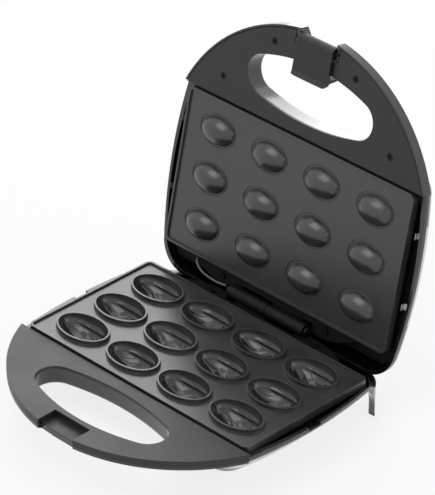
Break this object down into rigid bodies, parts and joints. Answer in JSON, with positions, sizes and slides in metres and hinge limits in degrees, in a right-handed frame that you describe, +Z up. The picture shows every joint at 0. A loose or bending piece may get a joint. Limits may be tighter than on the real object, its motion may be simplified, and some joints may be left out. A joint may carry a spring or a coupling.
{
  "type": "nut cookie maker",
  "caption": "Electric benchtop maker for filled walnut-shaped cookies, with hinged non-stick plates, a round handle with a grip hole and a fold-over latch, shown open.",
  "frame": {"origin": "centre of the open part's bounding box in X and Y, on the floor plane under the feet", "axes": "+X to the user's right, +Y away from the user towards the hinge, +Z up; the lid stands open 102 degrees"},
  "size_m": [0.2442, 0.2764, 0.2492],
  "materials": {
    "housing_gloss_black": "glossy black moulded housing",
    "frame_matte_black": "fine matte grained black frame",
    "nonstick_plate": "dark grey non-stick coating on cast metal",
    "stainless_cover": "brushed lengthwise",
    "heater_sheath": "dull drawn tube",
    "tray_sheet": "plain rolled sheet",
    "zinc_steel": "zinc plated",
    "hinge_steel": "satin black coated steel",
    "black_screw": "black oxide",
    "black_sheet": "black enamelled sheet",
    "rubber_foot": "matte black rubber",
    "ceramic_white": "unglazed white ceramic",
    "lead_sleeve": "woven glass sleeving, off-white",
    "bush_black": "moulded black bush",
    "lens_red": "clear red moulding",
    "lens_green": "clear green moulding",
    "bulb_glass": "small neon bulb"
  },
  "bodies": {
    "base": {"lower_shell": "housing_gloss_black", "lower_frame": "frame_matte_black", "lower_plate": "nonstick_plate", "lower_heater": "heater_sheath", "lower_heater_straps": "tray_sheet", "lower_reflector": "black_sheet", "lower_thermostat": "ceramic_white", "lower_plate_screws": "zinc_steel", "lower_frame_screws": "black_screw", "base_leads": "lead_sleeve", "terminal_block": "ceramic_white", "cord_inlet_bush": "bush_black", "base_hinge_bracket": "hinge_steel", "base_hinge_screws": "black_screw", "hinge_pin": "black_screw", "front_feet": "rubber_foot", "rear_foot_pads": "rubber_foot"},
    "lid": {"upper_shell": "housing_gloss_black", "cover_plate": "stainless_cover", "upper_frame": "frame_matte_black", "upper_plate": "nonstick_plate", "upper_heater": "heater_sheath", "upper_heater_straps": "tray_sheet", "upper_reflector": "black_sheet", "upper_thermostat": "ceramic_white", "thermal_fuse": "zinc_steel", "upper_plate_screws": "zinc_steel", "upper_frame_screws": "black_screw", "lid_leads": "lead_sleeve", "lid_hinge_bracket": "hinge_steel", "lid_hinge_screws": "black_screw", "lamp_bulbs": "bulb_glass", "latch_pin": "black_screw", "power_lens": "lens_red", "ready_lens": "lens_green"},
    "latch": {"latch": "frame_matte_black"}
  },
  "joints": [
    {"name": "lid_hinge", "type": "hinge", "parent": "base", "child": "lid", "pos_m": [0, 0.07508, 0.039], "axis": [1, 0, 0], "range_deg": [0, 102.15]},
    {"name": "latch_pivot", "type": "hinge", "parent": "lid", "child": "latch", "pos_m": [0, 0.12164, 0.24195], "axis": [1, 0, 0], "range_deg": [-95, 0]}
  ]
}
